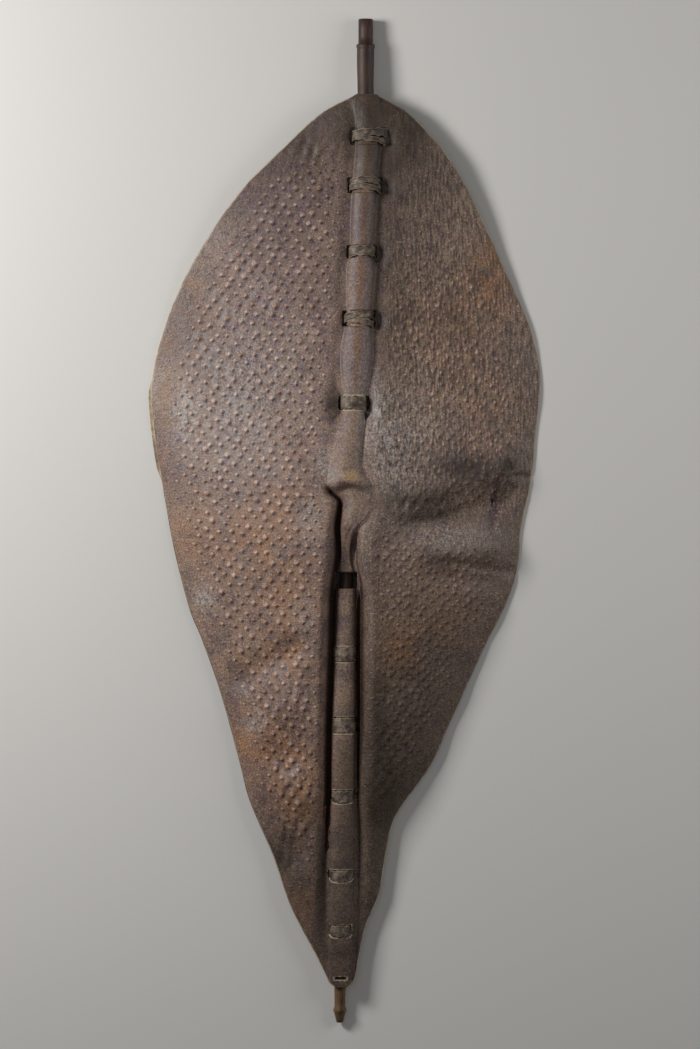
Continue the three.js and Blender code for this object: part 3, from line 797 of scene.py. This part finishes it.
def stick_outline():
    """Radius and place of every step along the stick, from its blunt tip to its sawn top."""
    collar_start = STICK_START + BLUNT_LENGTH
    collar_end = collar_start + COLLAR_LENGTH
    shaft_start = collar_end + COLLAR_LENGTH / 2
    shaft_end = STICK_END - STUB_LENGTH - COLLAR_LENGTH
    outline = [(0, STICK_START), (BLUNT_RADIUS * 0.8, STICK_START), (BLUNT_RADIUS, STICK_START + 0.6)]
    outline.append((stick_radius(collar_start) - 0.9, collar_start - BLUNT_LENGTH / 3))
    outline.append((stick_radius(collar_start), collar_start))
    for share in (0.2, 0.4, 0.8):
        outline.append((stick_radius(collar_start) + COLLAR_PROUD, collar_start + COLLAR_LENGTH * share))
    for y in np.linspace(shaft_start, shaft_end, STICK_STEPS):
        uneven = 0.18 * math.sin(y / 19.0) + 0.12 * math.sin(y / 7.7 + 1.0)
        outline.append((stick_radius(y) - 0.1 + uneven, y))
    for share in (0.25, 0.6, 0.9):
        outline.append((stick_radius(shaft_end) + COLLAR_PROUD, shaft_end + COLLAR_LENGTH * share))
    stub_start = STICK_END - STUB_LENGTH
    for share in (0.05, 0.3, 0.6, 0.97):
        outline.append((STUB_RADIUS, stub_start + STUB_LENGTH * share))
    outline += [(STUB_RADIUS - 0.6, STICK_END), (0, STICK_END)]
    return outline


def stick_mesh():
    bm = bmesh.new()
    points = [bm.verts.new((radius, along, 0)) for radius, along in stick_outline()]
    edges = [bm.edges.new(pair) for pair in zip(points, points[1:])]
    spin_round(bm, points + edges, STICK_SIDES)
    bmesh.ops.remove_doubles(bm, verts=bm.verts, dist=0.001)
    bmesh.ops.recalc_face_normals(bm, faces=bm.faces)
    spots = []
    for corner in bm.verts:
        x, y, z = corner.co
        spots.append((x + stick_x(y), y, z + stick_z(y)))
    move_corners(bm.verts, np.array(spots))
    return new_mesh("stick_wood", bm)


# Stains of the hide, with patches of painted light and shade among them, in millimetres of the photograph's
# plane from the frame's middle: x, y, half sizes and strength
STAINS_AND_PAINTED_LIGHT = {
    "rust": [
        (54, -134, 20, 28, 0.8), (-164, -9, 24, 44, 0.4), (-90, -18, 50, 50, 0.75),
        (130, 106, 45, 60, 0.45), (-60, 60, 40, 60, 0.3), (-55, -280, 34, 40, 0.6),
        (150, 250, 30, 50, 0.5), (-150, 240, 40, 60, 0.35), (-100, -130, 50, 50, 0.4),
        (100, 200, 50, 50, 0.3), (-90, -210, 40, 40, 0.35), (152, 268, 12, 28, 0.6),
        (-190, 120, 10, 90, 0.4), (-70, -246, 45, 30, 0.35), (-46, -403, 18, 22, 0.6),
        (-42, -300, 26, 18, 0.4), (90, -100, 40, 40, 0.35), (-60, -83, 34, 30, 0.4),
        (-54, -138, 24, 26, 0.65), (-110, -236, 26, 20, 0.45),
    ],
    "violet": [
        (156, 14, 6, 32, 1.0), (125, 58, 34, 15, 0.8), (22, -62, 7, 16, 0.8),
        (-140, -190, 18, 18, 0.5), (-95, 190, 40, 50, 0.4), (-20, 110, 9, 20, 0.6),
        (-60, 350, 70, 60, 0.5), (-90, 230, 60, 70, 0.4), (60, 330, 30, 60, 0.3),
        (-120, 60, 50, 40, 0.35), (-80, -270, 26, 22, 0.5),
    ],
    # Pale grey dusting, and painted light: paler patches where the light falls brightest, on the left
    # middle and on the lit slope below the fold right of the nose
    "dust_and_light": [
        (-169, 113, 13, 25, 0.9), (-149, -82, 11, 14, 0.9), (-95, -215, 12, 12, 0.8),
        (28, 120, 12, 34, 0.5), (-22, 56, 9, 18, 0.6), (-150, 290, 50, 40, 0.35),
        (-110, 130, 70, 110, 0.55), (112, -18, 46, 15, 0.5), (45, 75, 20, 50, 0.5),
        (70, 90, 60, 60, 0.4), (-110, -120, 50, 50, 0.2), (-43, -102, 12, 20, 0.5),
        (-36, 0, 11, 30, 0.5),
    ],
    # Smoke stains, and painted shade: the shadow of the fold right of the nose, shade beside the lower rib
    # and in its left crease, and darkening towards the top, the tip and the lower right where the light
    # falls off
    "soot_and_shade": [
        (125, 55, 38, 15, 1.0), (70, 22, 42, 10, 0.8), (95, 4, 46, 9, 0.4),
        (30, 440, 90, 70, 0.9), (-20, -470, 70, 110, 0.8), (45, 230, 22, 150, 0.45),
        (-60, -370, 40, 40, 0.5), (60, 380, 60, 90, 0.5), (-80, 400, 60, 50, 0.65),
        (40, -290, 40, 90, 0.75), (80, -190, 50, 100, 0.5), (170, 330, 30, 60, 0.3),
        (170, 57, 9, 10, 0.9), (30, -200, 16, 120, 0.5), (-55, -310, 36, 36, 0.35),
        (-4, -255, 12, 36, 0.4), (-4, -335, 12, 45, 0.3), (100, 232, 60, 50, 0.25),
        (-165, 206, 26, 50, 0.25), (-90, 300, 70, 40, 0.25), (-25, -385, 5, 42, 0.8),
        (-75, -352, 22, 14, 0.4),
    ],
    "wear": [
        (3.5, 46, 10, 6.5, 1.0), (10, 75, 9, 40, 0.35), (163, 268, 10, 24, 0.5), (0, -22, 7, 22, 0.45),
    ],
}


# The first of the lashings, from the top, whose slit has pale lips
FIRST_LIPPED = 4


def slit_distance(x, y, cut):
    """Distance along the rib from the nearest edge of a lower slit or the tip slit, in millimetres."""
    nearest = np.maximum(
        np.abs(y - TIP_SLIT_INSET) - TIP_SLIT_LENGTH / 2, np.abs(x - stick_x(y)) - TIP_SLIT_WIDTH / 2
    )
    nearest = nearest + 0.5 * np.sin(1.3 * x) + 0.4 * np.sin(3.1 * x + 2 * y)
    for place, width, side_reach, *_, draw in LASHINGS[FIRST_LIPPED:]:
        round_rib = cut.half_width + side_reach + LASHING_THICKNESS
        up = np.sqrt(np.clip(1 - ((x - cut.middle) / round_rib) ** 2, 0, 1))
        drawn = np.where(y < place * HIDE_LENGTH, 1 - draw * (1 - np.sqrt(up)), 1)
        nearest = np.minimum(nearest, np.abs(y - place * HIDE_LENGTH) - drawn * width / 2 - SLIT_CLEARANCE)
    return nearest


def shade_in_folds(x, y, z, cut):
    """Painted shade: 1 deep in the valleys beside the rib and below the face in the slits, 0 on the open
    face.
    """
    across = np.abs(x - cut.middle) / cut.half_width
    depth = cut.crest - np.where(x < cut.middle, cut.left_floor, cut.right_floor)
    black = np.where(x < cut.middle, ease(depth, 5, 12), ease(depth, 12, 20))
    beside = ease((cut.crest - z) / np.maximum(depth, 6), 0.35, 0.9) * ease(across, 0.8, 1.02) * black
    inside = ease(face_z(x, y) - z, 0.5, 2.2) * (np.minimum(x - cut.left, cut.right - x) > 5)
    return np.maximum(beside, inside)


def add_values(mesh, name, values):
    layer = mesh.attributes.new(name, "FLOAT", "POINT")
    layer.data.foreach_set("value", values.astype(np.float32))


def add_stains_and_painted_light(mesh):
    spots = np.zeros(len(mesh.vertices) * 3, np.float32)
    normals = np.zeros(len(mesh.vertices) * 3, np.float32)
    mesh.vertices.foreach_get("co", spots)
    mesh.vertices.foreach_get("normal", normals)
    spots = spots.reshape(-1, 3).astype(float) / MM
    faces_up = normals.reshape(-1, 3)[:, 2] > -0.6
    x, y, z = (spots - TIP_IN_FRAME).T
    for name, patches in STAINS_AND_PAINTED_LIGHT.items():
        value = np.zeros(len(spots))
        for stain_x, stain_y, half_x, half_y, strength in patches:
            across, along = (spots[:, 0] - stain_x) / half_x, (spots[:, 1] - stain_y) / half_y
            value += strength * np.exp(-across * across - along * along)
        # Painted shade: the soft pits beside the upper lashings are darkened by their depth
        if name == "soot_and_shade":
            value += pit_depth(x, y) / 5
        add_values(mesh, name, np.minimum(value, 1))
    cut = Section(np.clip(y, 0, HIDE_LENGTH))
    add_values(mesh, "crest", (x - cut.middle) / cut.half_width)
    add_values(mesh, "slit", slit_distance(x, y, cut))
    # Painted shade in the valleys and slits, kept off faces turned downwards
    add_values(mesh, "deep", np.where(faces_up, shade_in_folds(x, y, z, cut), 0))


def linear(hex_colour):
    """An sRGB hex colour as a linear colour with alpha."""
    parts = [int(hex_colour[k : k + 2], 16) / 255 for k in (1, 3, 5)]
    return tuple(c / 12.92 if c <= 0.04045 else ((c + 0.055) / 1.055) ** 2.4 for c in parts) + (1.0,)


# For each kind of shader node: the sockets that its values go to in turn, its result, and its settings
PORTS = {
    "TexCoord": ((), "Object", {}),
    "Attribute": ((), "Fac", {}),
    "Mapping": (("Vector", "Scale"), "Vector", {}),
    "SeparateXYZ": (("Vector",), "Y", {}),
    "TexNoise": (("Vector", "Scale", "Detail", "Roughness"), "Fac", {}),
    "Mix": ((0, 6, 7), 2, {"data_type": "RGBA"}),
    "MapRange": ((0, 1, 2, 3, 4), 0, {"interpolation_type": "SMOOTHSTEP"}),
    "Math": ((0, 1), 0, {"operation": "MULTIPLY"}),
    "Bump": (("Height", "Strength", "Distance", "Normal"), "Normal", {}),
}


def add(material, kind, *values, **settings):
    """Adds a node, sets or links its values in turn, and gives back the socket of its result."""
    sockets, result, usual = PORTS[kind]
    made = material.node_tree.nodes.new("ShaderNode" + kind)
    for name, value in {**usual, **settings}.items():
        setattr(made, name, value)
    for socket, value in zip(sockets, values):
        if isinstance(value, bpy.types.NodeSocket):
            material.node_tree.links.new(value, made.inputs[socket])
        else:
            made.inputs[socket].default_value = value
    return made.outputs[result]


def per_metre(size_mm):
    """The scale of a noise whose blotches are of a real size in millimetres."""
    return 1.0 / (size_mm * MM)


def new_material(name):
    """A material with only its shader and output, its way to add nodes, and its shader."""
    material = bpy.data.materials.new(name)
    material.use_nodes = True
    return material, partial(add, material), material.node_tree.nodes["Principled BSDF"]


def finish_material(material, shader, sockets, plain):
    for socket, value in sockets.items():
        material.node_tree.links.new(value, shader.inputs[socket])
    for socket, value in plain.items():
        shader.inputs[socket].default_value = value
    return material


def rawhide():
    """Smoked rawhide, dried on the stick: brown, mauve and grey, speckled, its pimples worn pale."""
    material, node, shader = new_material("smoked_rawhide")
    place = node("TexCoord")
    large = node("TexNoise", place, per_metre(75), 4.0, 0.6)
    middle = node("TexNoise", place, per_metre(19), 5.0, 0.65)
    other = node("TexNoise", node("Mapping", place, (1.3, 0.9, 1.0)), per_metre(11), 4.0, 0.6)
    small = node("TexNoise", place, per_metre(4.2), 3.0, 0.6)
    speckle = node("TexNoise", place, per_metre(1.7), 2.0, 0.7)
    streaks = node("TexNoise", node("Mapping", place, (1.0, 0.16, 1.0)), per_metre(2.2), 3.0, 0.6)
    stain_and_light_marks = [node("Attribute", attribute_name=name) for name in ["rust", "violet", "dust_and_light", "soot_and_shade", "wear"]]
    rust, violet, dust_and_light, soot_and_shade, wear = stain_and_light_marks
    shapes = ["pimple", "shade", "cut", "crest", "slit", "deep"]
    pimple, shade, cut, crest, slit, deep = [node("Attribute", attribute_name=name) for name in shapes]
    from_crest = node("Math", crest, operation="ABSOLUTE")
    right_side = node("MapRange", crest, 1.2, 2.5)
    on_rib = node("MapRange", from_crest, 1.02, 0.9)
    along = node("SeparateXYZ", place)
    upper = node("MapRange", along, 0.1, 0.15)

    colour = node("Mix", node("MapRange", large, 0.36, 0.64), linear("#6a5850"), linear("#86705f"))
    colour = node("Mix", node("MapRange", middle, 0.4, 0.62, 0.0, 0.6), colour, linear("#94796a"))
    colour = node("Mix", node("MapRange", other, 0.46, 0.68, 0.0, 0.72), colour, linear("#675057"))
    olive = node("Math", right_side, node("MapRange", other, 0.6, 0.35, 0.2, 0.7))
    colour = node("Mix", olive, colour, linear("#77695a"))
    rusty = node("Math", rust, node("MapRange", middle, 0.34, 0.6, 0.15, 1.0))
    colour = node("Mix", rusty, colour, linear("#986c48"))
    mauve = node("Math", violet, node("MapRange", other, 0.35, 0.6, 0.3, 0.9))
    colour = node("Mix", mauve, colour, linear("#5f4850"))
    colour = node("Mix", node("MapRange", small, 0.52, 0.7, 0.0, 0.4), colour, linear("#4a3c36"))
    colour = node("Mix", node("MapRange", wear, 0.2, 0.9, 0.0, 0.85), colour, linear("#a98a62"))
    # Pale grey dusting together with painted light on the brightest-lit patches
    dust_and_light_share = node("Math", dust_and_light, node("MapRange", small, 0.36, 0.62))
    colour = node("Mix", dust_and_light_share, colour, linear("#a8a09b"))

    patchy = node("MapRange", other, 0.35, 0.6, 0.08, 0.42)
    grains = node("Math", node("MapRange", speckle, 0.58, 0.72), patchy)
    grains = node("Math", grains, node("MapRange", from_crest, 0.9, 1.3, 0.6, 1.0))
    colour = node("Mix", grains, colour, linear("#b5a79d"))
    tip = node("MapRange", pimple, 1.0, 0.4)
    less_right = node("MapRange", right_side, 0.0, 1.0, 0.85, 0.6)
    shaded = node("Math", node("MapRange", shade, 0.1, 0.75), less_right)
    colour = node("Mix", shaded, colour, linear("#35232a"))
    tip_colour = node("Mix", node("MapRange", middle, 0.4, 0.6), linear("#b08467"), linear("#cbaea0"))
    worn_tip = node("Math", tip, node("MapRange", right_side, 0.0, 1.0, 0.75, 0.5))
    colour = node("Mix", worn_tip, colour, tip_colour)

    wavy = node("Math", node("MapRange", small, 0.3, 0.7, -0.2, 0.2), from_crest, operation="ADD")
    # Painted sheen: pale grey-mauve stripes on the shoulders of the upper rib stand in for its glossy
    # highlights
    beside_crest = node("Math", node("MapRange", wavy, 0.16, 0.36), node("MapRange", wavy, 0.95, 0.62))
    painted_sheen_sides = node("Math", beside_crest, node("MapRange", streaks, 0.36, 0.6, 0.05, 0.42))
    painted_sheen_sides = node("Math", painted_sheen_sides, node("MapRange", along, 0.42, 0.39))
    colour = node("Mix", node("Math", painted_sheen_sides, upper), colour, linear("#8a8082"))
    # Crest stripe: worn brown on the upper rib; on the lower rib a pale olive-beige painted highlight along
    # the crest
    broken = node("MapRange", middle, 0.38, 0.58, 0.05, 0.6)
    on_crest = node("Math", node("MapRange", wavy, 0.34, 0.08), broken)
    crest_wear_and_highlight = node("Mix", upper, linear("#86725a"), linear("#7c583b"))
    colour = node("Mix", on_crest, colour, crest_wear_and_highlight)
    grain = node("MapRange", speckle, 0.3, 0.7, 0.12, 0.88)
    streaked = node("MapRange", streaks, 0.32, 0.68, 0.15, 0.85)
    colour = node("Mix", 0.55, colour, grain, blend_type="OVERLAY")
    streaky = node("Math", right_side, node("MapRange", along, -0.06, 0.08, 0.2, 0.7))
    colour = node("Mix", streaky, colour, streaked, blend_type="OVERLAY")
    # Dark smoke stains and painted shade, from the same patches
    colour = node("Mix", node("Math", soot_and_shade, 0.78), colour, linear("#2a2013"))
    cut_colour = node("Mix", node("MapRange", middle, 0.35, 0.65), linear("#b9a686"), linear("#7a6853"))
    under_strip = node("MapRange", node("Math", on_rib, upper), 0.0, 1.0, 1.0, 0.1)
    colour = node("Mix", node("Math", cut, under_strip), colour, cut_colour)
    lip = node("Math", node("MapRange", slit, 1.3, 0.8), node("MapRange", small, 0.36, 0.52, 0.3, 0.9))
    colour = node("Mix", node("Math", lip, on_rib), colour, linear("#b8a98e"))
    # Painted shade, near black, deep in the valleys beside the rib and inside the slits
    colour = node("Mix", node("Math", deep, 0.88), colour, linear("#1c120b"))

    uneven = node("Math", middle, node("Math", speckle, 0.6), operation="ADD")
    rough = node("MapRange", uneven, 0.6, 1.0, 0.4, 0.66)
    rough = node("Math", rough, node("MapRange", from_crest, 1.1, 0.75, 0.0, 0.05), operation="ADD")
    rough = node("Math", rough, node("Math", tip, 0.16), operation="SUBTRACT")
    rough = node("Math", rough, node("Math", deep, 0.5), operation="ADD")
    shine = node("MapRange", deep, 0.2, 0.8, 0.42, 0.05)

    lumps = node("Math", small, node("Math", speckle, 0.5), operation="ADD")
    wrinkles = node("Bump", lumps, 0.9, 0.7 * MM)
    bump = node("Bump", node("MapRange", pimple, 1.4, 0.0), 0.6, 0.8 * MM, wrinkles)
    looks = {"Base Color": colour, "Roughness": rough, "Specular IOR Level": shine, "Normal": bump}
    return finish_material(material, shader, looks, {"IOR": 1.5})


def rawhide_strip():
    """Rawhide strip, cut and dried: dull brown, stiff, with pale cut edges."""
    material, node, shader = new_material("rawhide_strip")
    place = node("TexCoord")
    middle = node("TexNoise", place, per_metre(7), 4.0, 0.6)
    speckle = node("TexNoise", place, per_metre(1.8), 3.0, 0.65)
    soot_and_shade = node("Attribute", attribute_name="soot_and_shade")
    colour = node("Mix", node("MapRange", middle, 0.35, 0.65), linear("#43362e"), linear("#877563"))
    colour = node("Mix", 0.7, colour, node("MapRange", speckle, 0.3, 0.7, 0.15, 0.85), blend_type="OVERLAY")
    # Darker where the sheet's smoke stains and painted shade lie
    colour = node("Mix", node("Math", soot_and_shade, 0.5), colour, linear("#2c241f"))
    cut = node("Attribute", attribute_name="cut")
    edge = node("Math", cut, node("MapRange", middle, 0.3, 0.5, 0.25, 0.8))
    colour = node("Mix", edge, colour, linear("#94846c"))
    bump = node("Bump", speckle, 0.6, 0.5 * MM)
    looks = {"Base Color": colour, "Normal": bump}
    return finish_material(material, shader, looks, {"Roughness": 0.55, "IOR": 1.5})


def stick_wood():
    """Peeled hardwood stick, darkened by hands: streaked along its length, paler at the tip."""
    material, node, shader = new_material("peeled_stick")
    place = node("TexCoord")
    streaks = node("TexNoise", node("Mapping", place, (1.0, 0.06, 1.0)), per_metre(4), 5.0, 0.65)
    blotches = node("TexNoise", place, per_metre(22), 3.0, 0.5)
    along = node("SeparateXYZ", place)
    colour = node("Mix", node("MapRange", streaks, 0.35, 0.65), linear("#2a1b15"), linear("#4b3023"))
    towards_tip = node("MapRange", along, -0.3, -0.49)
    tip_colour = node("Mix", node("MapRange", streaks, 0.3, 0.7), linear("#4c3821"), linear("#76593a"))
    colour = node("Mix", towards_tip, colour, tip_colour)
    colour = node("Mix", node("MapRange", blotches, 0.5, 0.8, 0.0, 0.5), colour, linear("#251914"))
    bump = node("Bump", streaks, 0.4, 0.4 * MM)
    rough = node("MapRange", streaks, 0.3, 0.7, 0.48, 0.62)
    looks = {"Base Color": colour, "Roughness": rough, "Normal": bump}
    return finish_material(material, shader, looks, {"IOR": 1.5})


def studio_paper():
    """Matt pale paper under the shield."""
    material, _, shader = new_material("studio_paper")
    return finish_material(material, shader, {}, {"Base Color": linear("#d9d6d1"), "Roughness": 0.9})


def aim(thing, target):
    thing.rotation_euler = (Vector(target) - thing.location).to_track_quat("-Z", "Y").to_euler()


def soft_light(name, spot, size, power, target=(0, 0, 0)):
    lamp = bpy.data.lights.new(name, "AREA")
    lamp.shape = "SQUARE"
    lamp.size = size
    lamp.energy = power
    lit = new_object(name, lamp)
    lit.location = spot
    aim(lit, target)


# The photograph's frame on the shield, in millimetres: its height, and its middle in the frame
PHOTO_HEIGHT = 1101.5
PHOTO_MIDDLE = (4.6, -3.7)
CAMERA_HEIGHT = 5.0
SENSOR = 36.0


def add_camera():
    lens = bpy.data.cameras.new("camera")
    lens.sensor_width = SENSOR
    lens.lens = SENSOR * CAMERA_HEIGHT / (PHOTO_HEIGHT * MM)
    lens.clip_end = 100
    camera = new_object("camera", lens)
    camera.location = (PHOTO_MIDDLE[0] * MM, PHOTO_MIDDLE[1] * MM, CAMERA_HEIGHT)
    bpy.context.scene.camera = camera


def add_studio():
    bm = bmesh.new()
    bmesh.ops.create_grid(bm, x_segments=1, y_segments=1, size=6.0)
    mesh = new_mesh("floor", bm)
    mesh.materials.append(studio_paper())
    new_object("floor", mesh)
    soft_light("key", (-1.15, 0.55, 0.9), 0.45, 19.5, (0, 0.08, 0))
    soft_light("rim_light", (1.4, 0.4, 0.8), 0.9, 7)
    soft_light("fill", (-0.3, 0.1, 2.6), 1.6, 4)
    world = bpy.data.worlds.new("studio")
    world.use_nodes = True
    world.node_tree.nodes["Background"].inputs["Color"].default_value = linear("#e8e9ec")
    world.node_tree.nodes["Background"].inputs["Strength"].default_value = 0.06
    bpy.context.scene.world = world
    bpy.context.scene.view_settings.view_transform = "Standard"


def add_shield():
    hide = cut_hide()
    add_stains_and_painted_light(hide.data)
    finish_piece(hide, "hide", rawhide())
    finish_piece(new_object("stick_wood", stick_mesh()), "stick", stick_wood())
    strip = rawhide_strip()
    for number, (lashing, strands) in enumerate(zip(LASHINGS, STRANDS), start=1):
        name = f"lashing_{number:02d}"
        mesh = lashing_mesh(name + "_strip", lashing, strands, LASHING_PHASE * number)
        add_stains_and_painted_light(mesh)
        finish_piece(new_object(name + "_strip", mesh), name, strip)


add_camera()
add_studio()
add_shield()
